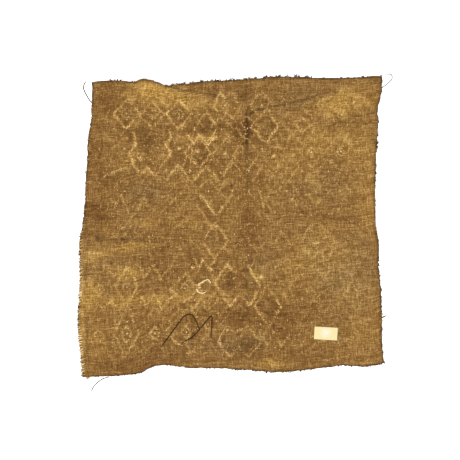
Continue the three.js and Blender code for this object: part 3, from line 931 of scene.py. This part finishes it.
def raffia_mesh(name, paths, ups, half_widths, half_heights, section, tones):
    """One mesh of many strips. Each follows its own path of points, with a section round each of them."""
    paths = np.asarray(paths, float)
    half_widths = np.asarray(half_widths)
    half_heights = np.asarray(half_heights)
    count, stations = paths.shape[:2]
    sides = len(section)
    headings = unit(np.gradient(paths, axis=1))
    across = unit(np.cross(headings, ups))
    upward = np.cross(across, headings)
    rings = np.zeros((count, stations, sides, 3))
    for side, (aside, up) in enumerate(section):
        sideways = across * (half_widths * aside)[..., None]
        rings[:, :, side] = paths + sideways + upward * (half_heights * up)[..., None]
    strip_starts = np.arange(count)[:, None] * stations
    first = (strip_starts + np.arange(stations - 1)[None]).reshape(-1, 1) * sides
    side = np.arange(sides)[None]
    turned = (side + 1) % sides
    walls = np.stack([first + side, first + turned, first + sides + turned, first + sides + side], axis=-1)
    starts = strip_starts * sides + side[:, ::-1]
    ends = (strip_starts + stations - 1) * sides + side
    mesh = bpy.data.meshes.new(name)
    faces = walls.reshape(-1, 4).tolist() + starts.tolist() + ends.tolist()
    mesh.from_pydata(rings.reshape(-1, 3).tolist(), [], faces)
    steps = np.linalg.norm(np.diff(paths, axis=1), axis=2)
    lengths = np.concatenate([np.zeros((count, 1)), steps.cumsum(axis=1)], axis=1)
    attributes = {
        "along": np.repeat(lengths.reshape(-1), sides),
        "tone": np.repeat(tones, stations * sides),
        "across": np.tile(np.array([aside for aside, up in section]), count * stations),
    }
    for attribute, values in attributes.items():
        layer = mesh.attributes.new(attribute, "FLOAT", "POINT")
        layer.data.foreach_set("value", values.astype(np.float32))
    facing_out = bmesh.new()
    facing_out.from_mesh(mesh)
    bmesh.ops.recalc_face_normals(facing_out, faces=facing_out.faces)
    facing_out.to_mesh(mesh)
    facing_out.free()
    mesh.shade_smooth()
    piece = bpy.data.objects.new(name, mesh)
    bpy.context.scene.collection.objects.link(piece)
    return piece


def raffia_look():
    """The look of one strip of leaf fibre: fine lengthwise streaks, lighter and darker, drier where pale."""
    group = bpy.data.node_groups.new("raffia_fibre", "ShaderNodeTree")
    sockets = [
        ("Dark", "INPUT", "NodeSocketColor"),
        ("Pale", "INPUT", "NodeSocketColor"),
        ("Along", "INPUT", "NodeSocketFloat"),
        ("Across", "INPUT", "NodeSocketFloat"),
        ("Tone", "INPUT", "NodeSocketFloat"),
        ("Colour", "OUTPUT", "NodeSocketColor"),
        ("Roughness", "OUTPUT", "NodeSocketFloat"),
        ("Height", "OUTPUT", "NodeSocketFloat"),
    ]
    for name, way, kind in sockets:
        group.interface.new_socket(name, in_out=way, socket_type=kind)
    given = group.nodes.new("NodeGroupInput").outputs
    result = group.nodes.new("NodeGroupOutput").inputs
    place = add_node(group, "ShaderNodeCombineXYZ", {
        0: sums(group, "MULTIPLY", given["Across"], 2.2),
        1: sums(group, "MULTIPLY", given["Along"], 90.0),
        2: sums(group, "MULTIPLY", given["Tone"], 57.0),
    }).outputs[0]
    noise = {"Vector": place, "Scale": 1.6, "Detail": 3.0}
    streaks = add_node(group, "ShaderNodeTexNoise", noise).outputs["Fac"]
    lighter = sums(group, "MULTIPLY_ADD", sums(group, "SUBTRACT", streaks, 0.5), 1.1, given["Tone"])
    group.links.new(mixed(group, lighter, given["Dark"], given["Pale"]), result["Colour"])
    group.links.new(sums(group, "MULTIPLY_ADD", streaks, 0.35, 0.42), result["Roughness"])
    group.links.new(streaks, result["Height"])
    return group


raffia_fibre = raffia_look()


def raffia_material(name, dark, pale, shine=0.2):
    """A finish of raffia strips between two colours."""
    material, tree, surface = new_material(name)
    inputs = {"Dark": srgb(*dark), "Pale": srgb(*pale)}
    for socket, attribute in (("Along", "along"), ("Across", "across"), ("Tone", "tone")):
        inputs[socket] = add_node(tree, "ShaderNodeAttribute", attribute_name=attribute).outputs["Fac"]
    look = add_node(tree, "ShaderNodeGroup", inputs, node_tree=raffia_fibre).outputs
    bump = add_node(tree, "ShaderNodeBump", {"Height": look["Height"], "Strength": 0.4, "Distance": 0.2 * MM})
    tree.links.new(look["Colour"], surface.inputs["Base Color"])
    tree.links.new(look["Roughness"], surface.inputs["Roughness"])
    tree.links.new(bump.outputs[0], surface.inputs["Normal"])
    surface.inputs["Specular IOR Level"].default_value = shine
    return material


chance = np.random.default_rng(1207)
stitch_paths, stitch_ups, stitch_widths, stitch_heights, stitch_tones = [], [], [], [], []


def lay_stitch(x, y, lean, length, half_width, tone):
    """One dash of raffia that comes up through the cloth, lies over it and goes down again. Millimetres."""
    middle, normal = on_panel(x * MM, y * MM)
    reach = Vector((math.cos(lean), math.sin(lean), 0)) * (0.5 * length * MM)
    reach = reach - normal * reach.dot(normal)
    sunk = normal * STITCH_SUNK
    stitch_paths.append([middle - reach - sunk, middle + normal * STITCH_RISEN, middle + reach - sunk])
    stitch_ups.append(normal)
    stitch_widths.append([0.45 * half_width * MM, half_width * MM, 0.45 * half_width * MM])
    stitch_heights.append([0.4 * STITCH_CROWN * MM, STITCH_CROWN * MM, 0.4 * STITCH_CROWN * MM])
    stitch_tones.append(tone)


for number, (x, y, heading, show) in enumerate(stitched_lines(STITCH_STEP)):
    kept = chance.uniform() < 0.1 + 0.85 * show
    aside = (STITCH_ASIDE if number % 2 else -STITCH_ASIDE) + chance.normal(0, 0.6)
    length = chance.uniform(*STITCH_LENGTH) * (0.7 + 0.3 * show)
    half_width = chance.uniform(*STITCH_HALF_WIDTH)
    lean = heading + math.radians(chance.normal(*STITCH_LEAN))
    tone = chance.uniform(0.2, 1.0) ** 1.4 * (0.4 + 0.7 * show)
    if kept:
        x, y = x - aside * math.sin(heading), y + aside * math.cos(heading)
        lay_stitch(x, y, lean, length, half_width, tone)
for x, y, show in eyes:
    for turn in (chance.uniform(0, 1), chance.uniform(1.2, 2.2)):
        if chance.uniform() < 1.3 * show:
            x_off, y_off = chance.normal(0, 0.4), chance.normal(0, 0.4)
            lay_stitch(x + x_off, y + y_off, turn, EYE_STITCH_LENGTH, EYE_STITCH_HALF_WIDTH, 0.5 + 0.8 * show)
# Short ends beside the pale curl: x, y, lean in degrees, length
PALE_DASHES = [
    (-60, -112.6, 16, 10),
    (-59.5, -116.8, 12, 9),
    (-54, -107.5, 24, 8),
]
for x, y, lean, length in PALE_DASHES:
    lay_stitch(x, y, math.radians(lean), length, PALE_DASH_HALF_WIDTH, 1.6)
for u, v in chance.uniform(0.015, 0.985, (FLECK_COUNT, 2)):
    x, y = in_plan(np.array([u]), np.array([v]))[0] / MM
    upright = chance.uniform() < FLECKS_UPRIGHT
    lean = math.radians((90 if upright else 0) + chance.normal(0, 8))
    length, half_width = chance.uniform(*FLECK_LENGTH), chance.uniform(*FLECK_HALF_WIDTH)
    lay_stitch(x, y, lean, length, half_width, chance.uniform(0, 1) ** 2.2)
stitches = raffia_mesh(
    "pattern_stitches",
    stitch_paths,
    np.array(stitch_ups)[:, None, :],
    stitch_widths,
    stitch_heights,
    STITCH_SECTION,
    stitch_tones,
)
stitches.data.materials.append(raffia_material("stitching_raffia", (152, 113, 59), (230, 193, 129)))
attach(stitches, "root")


# The whipped left edge
# The left selvedge is turned in and whipped with short slanting stitches of pale raffia, most of them left
# towards the near corner, where their ends hang out.
WHIP_RUNS = [
    # from v, to v, step in mm, share kept, palest tone
    (0.03, 0.5, 5.5, 0.4, 0.3),
    (0.5, 0.66, 3.6, 0.75, 0.8),
    (0.66, 0.73, 2.9, 1.0, 1.3),
    (0.73, 0.99, 3.5, 0.88, 1.1),
]
WHIP_DEPTH = (4.5, 8.0)
WHIP_SLANT = (1.6, 0.9)
WHIP_HALF_WIDTH = (0.5, 1.05)
# From the stitch's inner end, over the rim to its end below: share of its width, half height in mm
WHIP_SHAPE = [(0.4, 0.12), (1, 0.26), (1, 0.26), (1, 0.22), (0.5, 0.15)]
STRAIGHT_UP = np.array([0.0, 0.0, 1.0])[None, None, :]
whip_paths, whip_widths, whip_heights, whip_tones = [], [], [], []
for start, end, step, kept, palest in WHIP_RUNS:
    for v in np.arange(start, end, step * MM / SIDE_LENGTH):
        share = v + chance.normal(0, 0.0012)
        depth = chance.uniform(*WHIP_DEPTH)
        slant = chance.normal(*WHIP_SLANT)
        tone = chance.uniform(0.1, 1.0) * palest
        width = chance.uniform(*WHIP_HALF_WIDTH)
        if chance.uniform() > kept:
            continue
        root_x, root_y = in_plan(np.array([0.0]), np.array([min(share, 1.0)]))[0]
        inner_point = on_panel(root_x + depth * MM, root_y + slant * MM)[0]
        middle_point = on_panel(root_x + 0.5 * depth * MM, root_y + 0.5 * slant * MM)[0]
        shoulder = on_panel(root_x + 1.0 * MM, root_y)[0]
        over = Vector((root_x - 1.3 * MM, root_y - 0.3 * MM, max(shoulder.z - 0.5 * MM, 0.5 * MM)))
        under = Vector((root_x - 0.4 * MM, root_y - 0.6 * MM, max(shoulder.z - 1.4 * MM, 0.3 * MM)))
        whip_paths.append([
            inner_point - Vector((0, 0, 0.25 * MM)),
            middle_point + Vector((0, 0, 0.3 * MM)),
            shoulder + Vector((-0.2 * MM, 0, 0.45 * MM)),
            over,
            under,
        ])
        whip_widths.append([width_share * width * MM for width_share, half_height in WHIP_SHAPE])
        whip_heights.append([half_height * MM for width_share, half_height in WHIP_SHAPE])
        whip_tones.append(tone)
whipping = raffia_mesh(
    "whipped_edge_stitches", whip_paths, STRAIGHT_UP, whip_widths, whip_heights, STITCH_SECTION, whip_tones
)
whipping.data.materials.append(raffia_material("whipping_raffia", (132, 95, 50), (240, 212, 158)))
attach(whipping, "root")


# The frayed rim
# Where the weave is raw, loose ends of warp and weft stand out of the rim in tufts of two to four fibres.
# They are a few millimetres long. Most are dark with dirt, and many at the near left corner are pale.
FRAY_RUNS = [
    # edge, from, to, tufts per metre, shortest and longest in mm, share of pale ones
    ("far", 0.0, 1.0, 110, 0.8, 2.6, 0.08),
    ("far", 0.06, 0.15, 150, 2.2, 5.0, 0.0),
    ("far", 0.28, 0.76, 190, 2.4, 6.0, 0.08),
    ("far", 0.695, 0.712, 300, 4.5, 8.5, 0.0),
    ("far", 0.27, 0.32, 260, 2.0, 5.5, 0.0),
    ("near", 0.0, 1.0, 100, 0.6, 2.6, 0.25),
    ("near", 0.5, 1.0, 90, 1.6, 4.0, 0.1),
    ("near", 0.0, 0.03, 400, 2.0, 5.0, 0.9),
    ("left", 0.0, 1.0, 120, 0.6, 3.0, 0.3),
    ("left", 0.3, 1.0, 80, 1.8, 4.4, 0.2),
    ("left", 0.94, 1.0, 300, 1.5, 5.0, 0.9),
    ("right", 0.0, 1.0, 120, 0.6, 3.0, 0.1),
    ("right", 0.22, 0.25, 300, 2.0, 7.0, 0.1),
    ("right", 0.84, 0.92, 180, 1.0, 3.0, 0.8),
    ("right", 0.842, 0.849, 420, 9.0, 12.0, 0.6),
]
TUFT_FIBRES = (2, 5)
TUFT_SPREAD = 0.5
TUFT_SWING = 0.4
FIBRE_SWING = 0.3
FIBRE_BEND = 0.5
FIBRE_HALF_WIDTH = (0.45, 0.95)
FIBRE_HALF_HEIGHTS = [0.3 * MM, 0.25 * MM, 0.12 * MM]
ROOT_INSIDE = 0.9 * MM
LEAST_FIBRE_HEIGHT = 0.3 * MM
FRAY_ENDS = {"far": (None, 0.0), "near": (None, 1.0), "left": (0.0, None), "right": (1.0, None)}
OUTWARD = {"far": (0, 1), "near": (0, -1), "left": (-1, 0), "right": (1, 0)}
fray_paths, fray_widths, fray_heights, fray_tones = [], [], [], []
for edge, start, end, per_metre, shortest, longest, pale in FRAY_RUNS:
    for share in chance.uniform(start, end, int((end - start) * SIDE_LENGTH * per_metre)):
        u, v = FRAY_ENDS[edge]
        u = share if u is None else u
        v = share if v is None else v
        root_x, root_y = in_plan(np.array([u]), np.array([v]))[0]
        out = Vector((*OUTWARD[edge], 0))
        along_edge = Vector((-out.y, out.x, 0))
        top = on_panel(root_x - out.x * 2 * MM, root_y - out.y * 2 * MM)[0].z
        tuft_swing = chance.normal(0, TUFT_SWING)
        tuft_length = chance.uniform(shortest, longest) * MM
        tuft_is_pale = chance.uniform() < pale
        for fibre in range(chance.integers(*TUFT_FIBRES)):
            length = tuft_length * chance.uniform(0.5, 1.0)
            swing = tuft_swing + chance.normal(0, FIBRE_SWING)
            heading = out * math.cos(swing) + along_edge * math.sin(swing)
            sideways = along_edge * math.cos(swing) - out * math.sin(swing)
            bend = chance.normal(0, FIBRE_BEND)
            low = chance.uniform(0.3, 1.4)
            root = Vector((root_x, root_y, max(top - low * MM, 0.5 * MM))) - out * ROOT_INSIDE
            root += along_edge * (chance.normal(0, TUFT_SPREAD) * MM)
            droop = Vector((0, 0, chance.uniform(-0.3, 0.25) * length))
            middle = root + heading * (ROOT_INSIDE + 0.5 * length) + sideways * (0.12 * bend * length)
            middle += droop * 0.4
            tip = root + heading * (ROOT_INSIDE + length) + sideways * (0.45 * bend * length) + droop
            middle.z = max(middle.z, LEAST_FIBRE_HEIGHT)
            tip.z = max(tip.z, LEAST_FIBRE_HEIGHT)
            half_width = chance.uniform(*FIBRE_HALF_WIDTH)
            fray_paths.append([root, middle, tip])
            fray_widths.append([half_width * MM, 0.9 * half_width * MM, 0.5 * half_width * MM])
            fray_heights.append(FIBRE_HALF_HEIGHTS)
            fray_tones.append(chance.uniform(0.6, 1.0) if tuft_is_pale else chance.uniform(0.0, 0.2))
fray = raffia_mesh(
    "frayed_rim_fibres", fray_paths, STRAIGHT_UP, fray_widths, fray_heights, STITCH_SECTION, fray_tones
)
fray.data.materials.append(raffia_material("rim_fibres", (26, 14, 4), (206, 170, 112), 0.08))
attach(fray, "root")


# The loose ends
# Six strips of raffia have come loose. Three have frayed off the edges and lie beside the cloth, and two dark
# ones and a pale curl lie on the back. Each is a flat strip of leaf that narrows to its tip.
STRIP_SECTION = [(-1, 0), (-0.55, 0.75), (0, 0.5), (0.55, 0.75), (1, 0), (0.5, -0.6), (-0.5, -0.6)]
STRIP_STATIONS = 60
STRIP_SHINE = 0.06
STRIP_CLEARANCE = 0.12 * MM
STRIP_SMOOTHING = 7
DIVE_DEPTH = 1.3 * MM
DIVE_RUN = 0.05
# under_the_weave: the shares of its length between which a strip runs under the threads, past 1 for never
LOOSE_ENDS = {
    "loose_end_far_left": {
        "route": [(-265, 234), (-271, 242.5), (-277.8, 255), (-280.2, 262), (-279.2, 268.5), (-274.5, 276.5)],
        "half_width": 0.95, "half_height": 0.3, "on_cloth": False, "slot": "dark_raffia",
        "dark": (40, 32, 20), "pale": (80, 64, 42),
    },
    "loose_end_far_right": {
        "route": [
            (286.8, 262.8), (291, 265.6), (300, 272.8), (305.5, 279), (305.4, 286),
            (300.6, 288.9), (295.4, 286),
        ],
        "half_width": 0.9, "half_height": 0.28, "on_cloth": False, "slot": "bleached_raffia",
        "dark": (92, 87, 79), "pale": (138, 132, 122),
    },
    "loose_end_near_left": {
        "route": [(-231.8, -287), (-242, -289.6), (-252.5, -296.4), (-261, -305.2), (-266.2, -316)],
        "half_width": 0.9, "half_height": 0.3, "on_cloth": False, "slot": "grey_raffia",
        "dark": (50, 46, 40), "pale": (98, 92, 82),
    },
    "dark_end_arched": {
        "route": [
            (-133, -230), (-110, -199), (-90, -172.5), (-80, -167.5), (-71.5, -171.5), (-62.2, -190),
            (-58.5, -197.5),
        ],
        "half_width": 1.1, "half_height": 0.4, "on_cloth": True, "slot": "dark_raffia",
        "dark": (30, 17, 6), "pale": (76, 48, 22),
    },
    "dark_end_kinked": {
        "route": [
            (-93, -222), (-70, -207.5), (-48, -182), (-39.5, -172.4), (-37, -170.8), (-35.9, -173.6),
            (-36.2, -186), (-37.8, -214.5),
        ],
        "half_width": 1.1, "half_height": 0.4, "on_cloth": True, "slot": "dark_raffia",
        "dark": (30, 17, 6), "pale": (76, 48, 22),
    },
    "pale_end_curled": {
        "route": [
            (-38, -109), (-41, -104.5), (-45.5, -102), (-60.5, -110), (-64.8, -116), (-64, -122.5),
            (-59, -126.6), (-51.5, -127.2), (-46.5, -124.2),
        ],
        "half_width": 1.0, "half_height": 0.4, "on_cloth": True, "slot": "pale_raffia",
        "dark": (206, 172, 116), "pale": (250, 230, 188), "under_the_weave": (0.4, 0.56),
    },
}
for name, end in LOOSE_ENDS.items():
    path = np.zeros((STRIP_STATIONS, 3))
    path[:, :2] = smooth_line(end["route"], STRIP_STATIONS) * MM
    lie = end["half_height"] * MM + STRIP_CLEARANCE
    for station, (x, y, z) in enumerate(path):
        path[station, 2] = (on_panel(x, y)[0].z if end["on_cloth"] else 0.0) + lie
    padded = np.pad(path[:, 2], STRIP_SMOOTHING // 2, mode="edge")
    path[:, 2] = np.convolve(padded, np.full(STRIP_SMOOTHING, 1 / STRIP_SMOOTHING), mode="valid")
    shares = np.linspace(0, 1, STRIP_STATIONS)
    dive_start, dive_end = end.get("under_the_weave", (2.0, 3.0))
    going_under = np.clip((shares - dive_start) / DIVE_RUN + 0.5, 0, 1)
    path[:, 2] -= DIVE_DEPTH * going_under * np.clip((dive_end - shares) / DIVE_RUN + 0.5, 0, 1)
    taper = np.clip(np.minimum(8 * shares + 0.55, 7 * (1 - shares) + 0.2), 0, 1)
    twist = 0.3 * np.sin(7 * shares + len(name)) + 0.2 * np.sin(17 * shares)
    ups = np.stack([np.zeros(STRIP_STATIONS), np.sin(twist), np.cos(twist)], axis=-1)
    strip = raffia_mesh(
        name + "_strip",
        path[None],
        ups[None],
        (end["half_width"] * MM * taper)[None],
        (end["half_height"] * MM * (0.5 + 0.5 * taper))[None],
        STRIP_SECTION,
        [0.5],
    )
    strip.data.materials.append(raffia_material(name + "_fibre", end["dark"], end["pale"], STRIP_SHINE))
    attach(strip, "root")
    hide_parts(name)


# The paper label
# A small bare rectangle of cream paper, stuck to the back near the lower right corner. It has yellowed, its
# middle is rubbed white, and its corners lift a little off the cloth.
LABEL_WIDTH = 44 * MM
LABEL_HEIGHT = 24 * MM
LABEL_MIDDLE = (180 * MM, -204 * MM)
LABEL_TURN = math.radians(-3.4)
LABEL_THICKNESS = 0.35 * MM
LABEL_CELLS_ACROSS = 44
LABEL_CELLS_UP = 24
LABEL_CLEARANCE = 0.55 * MM
CORNERS_LIFT_FROM = 1.55
CORNER_LIFT = 0.9 * MM
bpy.ops.object.select_all(action="DESELECT")
bpy.ops.mesh.primitive_grid_add(x_subdivisions=LABEL_CELLS_ACROSS, y_subdivisions=LABEL_CELLS_UP, size=1)
label = bpy.context.object
label.name = "paper_label"
label.data.uv_layers.active.name = "paper"
for vertex in label.data.vertices:
    across_label, up_label = vertex.co.x * 2, vertex.co.y * 2
    paper_x, paper_y = 0.5 * across_label * LABEL_WIDTH, 0.5 * up_label * LABEL_HEIGHT
    x = LABEL_MIDDLE[0] + paper_x * math.cos(LABEL_TURN) - paper_y * math.sin(LABEL_TURN)
    y = LABEL_MIDDLE[1] + paper_x * math.sin(LABEL_TURN) + paper_y * math.cos(LABEL_TURN)
    lifted = max(0.0, abs(across_label) + abs(up_label) - CORNERS_LIFT_FROM)
    vertex.co = (x, y, on_panel(x, y)[0].z + LABEL_CLEARANCE + CORNER_LIFT * lifted)
label_solidify = label.modifiers.new("thickness", "SOLIDIFY")
label_solidify.thickness = LABEL_THICKNESS
label_solidify.offset = -1
bpy.ops.object.modifier_apply(modifier=label_solidify.name)
bpy.ops.object.shade_smooth_by_angle(angle=math.radians(50))
label_look, tree, label_surface = new_material("bare_cream_paper")
paper_place = add_node(tree, "ShaderNodeUVMap", uv_map="paper").outputs[0]
centred = add_node(tree, "ShaderNodeMapping", {0: paper_place, "Location": (-0.5, -0.5, 0)}).outputs[0]
mottle_noise = {"Vector": centred, "Scale": 7.0, "Detail": 4.0}
paper_mottle = add_node(tree, "ShaderNodeTexNoise", mottle_noise).outputs["Fac"]
paper_colour = mixed(tree, paper_mottle, srgb(204, 184, 122), srgb(220, 208, 160))
rub_mapping = {0: centred, "Location": (0.0, -0.12, 0), "Scale": (3.6, 2.2, 1)}
rub_place = add_node(tree, "ShaderNodeMapping", rub_mapping).outputs[0]
rub_reach = add_node(tree, "ShaderNodeVectorMath", {0: rub_place}, operation="LENGTH").outputs["Value"]
rub_edge = sums(tree, "MULTIPLY_ADD", paper_mottle, 2.6, rub_reach)
rubbed = add_node(tree, "ShaderNodeMapRange", {0: rub_edge, 1: 1.4, 2: 2.3, 3: 0.9, 4: 0.0}).outputs[0]
paper_colour = mixed(tree, rubbed, paper_colour, srgb(214, 210, 198))
tree.links.new(paper_colour, label_surface.inputs["Base Color"])
grain_noise = {"Vector": centred, "Scale": 60.0, "Detail": 3.0}
paper_grain = add_node(tree, "ShaderNodeTexNoise", grain_noise).outputs["Fac"]
paper_bump = add_node(tree, "ShaderNodeBump", {"Height": paper_grain, "Strength": 0.2, "Distance": 0.1 * MM})
tree.links.new(paper_bump.outputs[0], label_surface.inputs["Normal"])
tree.links.new(sums(tree, "MULTIPLY_ADD", paper_grain, 0.25, 0.55), label_surface.inputs["Roughness"])
label.data.materials.clear()
label.data.materials.append(label_look)
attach(label, "root")
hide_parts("label")


# The studio
# A plain pale table that glows a little, so that it shows no shadow. Soft light comes from all round, a little
# more from the near left, and the camera is straight above.
FLOOR_SIZE = 6.0
FLOOR_GLOW = 0.3
ROOM_STRENGTH = 1.1
LAMP_SIZE = 3.0
LAMP_POWER = 92.0
LAMP_PLACE = (-1.0, -2.2, 3.6)
CAMERA_HEIGHT = 2.2
VIEW_WIDTH = 874 * MM
VIEW_MIDDLE = (-1.9 * MM, -7.6 * MM)
bpy.ops.object.select_all(action="DESELECT")
bpy.ops.mesh.primitive_plane_add(size=FLOOR_SIZE, location=(0, 0, -0.0002))
floor = bpy.context.object
floor.name = "table_top"
floor_look, tree, floor_surface = new_material("pale_table")
floor_surface.inputs["Base Color"].default_value = (0.97, 0.97, 0.97, 1)
floor_surface.inputs["Roughness"].default_value = 0.9
floor_surface.inputs["Emission Color"].default_value = (1, 1, 1, 1)
floor_surface.inputs["Emission Strength"].default_value = FLOOR_GLOW
floor_surface.inputs["Specular IOR Level"].default_value = 0.1
floor.data.materials.append(floor_look)

scene = bpy.context.scene
scene.view_settings.view_transform = "Standard"
world = bpy.data.worlds.new("soft_room")
scene.world = world
world.use_nodes = True
room = world.node_tree.nodes["Background"]
room.inputs["Color"].default_value = (1.0, 1.0, 1.0, 1)
room.inputs["Strength"].default_value = ROOM_STRENGTH

lamp = bpy.data.lights.new("near_left_softbox", "AREA")
lamp.shape = "SQUARE"
lamp.size = LAMP_SIZE
lamp.energy = LAMP_POWER
softbox = bpy.data.objects.new("near_left_softbox", lamp)
softbox.location = LAMP_PLACE
softbox.rotation_euler = (-softbox.location).to_track_quat("-Z", "Y").to_euler()
scene.collection.objects.link(softbox)

lens = bpy.data.cameras.new("overhead_camera")
lens.sensor_width = 36.0
lens.lens = lens.sensor_width * CAMERA_HEIGHT / VIEW_WIDTH
lens.clip_end = 50
camera = bpy.data.objects.new("overhead_camera", lens)
camera.location = (*VIEW_MIDDLE, CAMERA_HEIGHT)
scene.collection.objects.link(camera)
scene.camera = camera

bpy.context.view_layer.update()
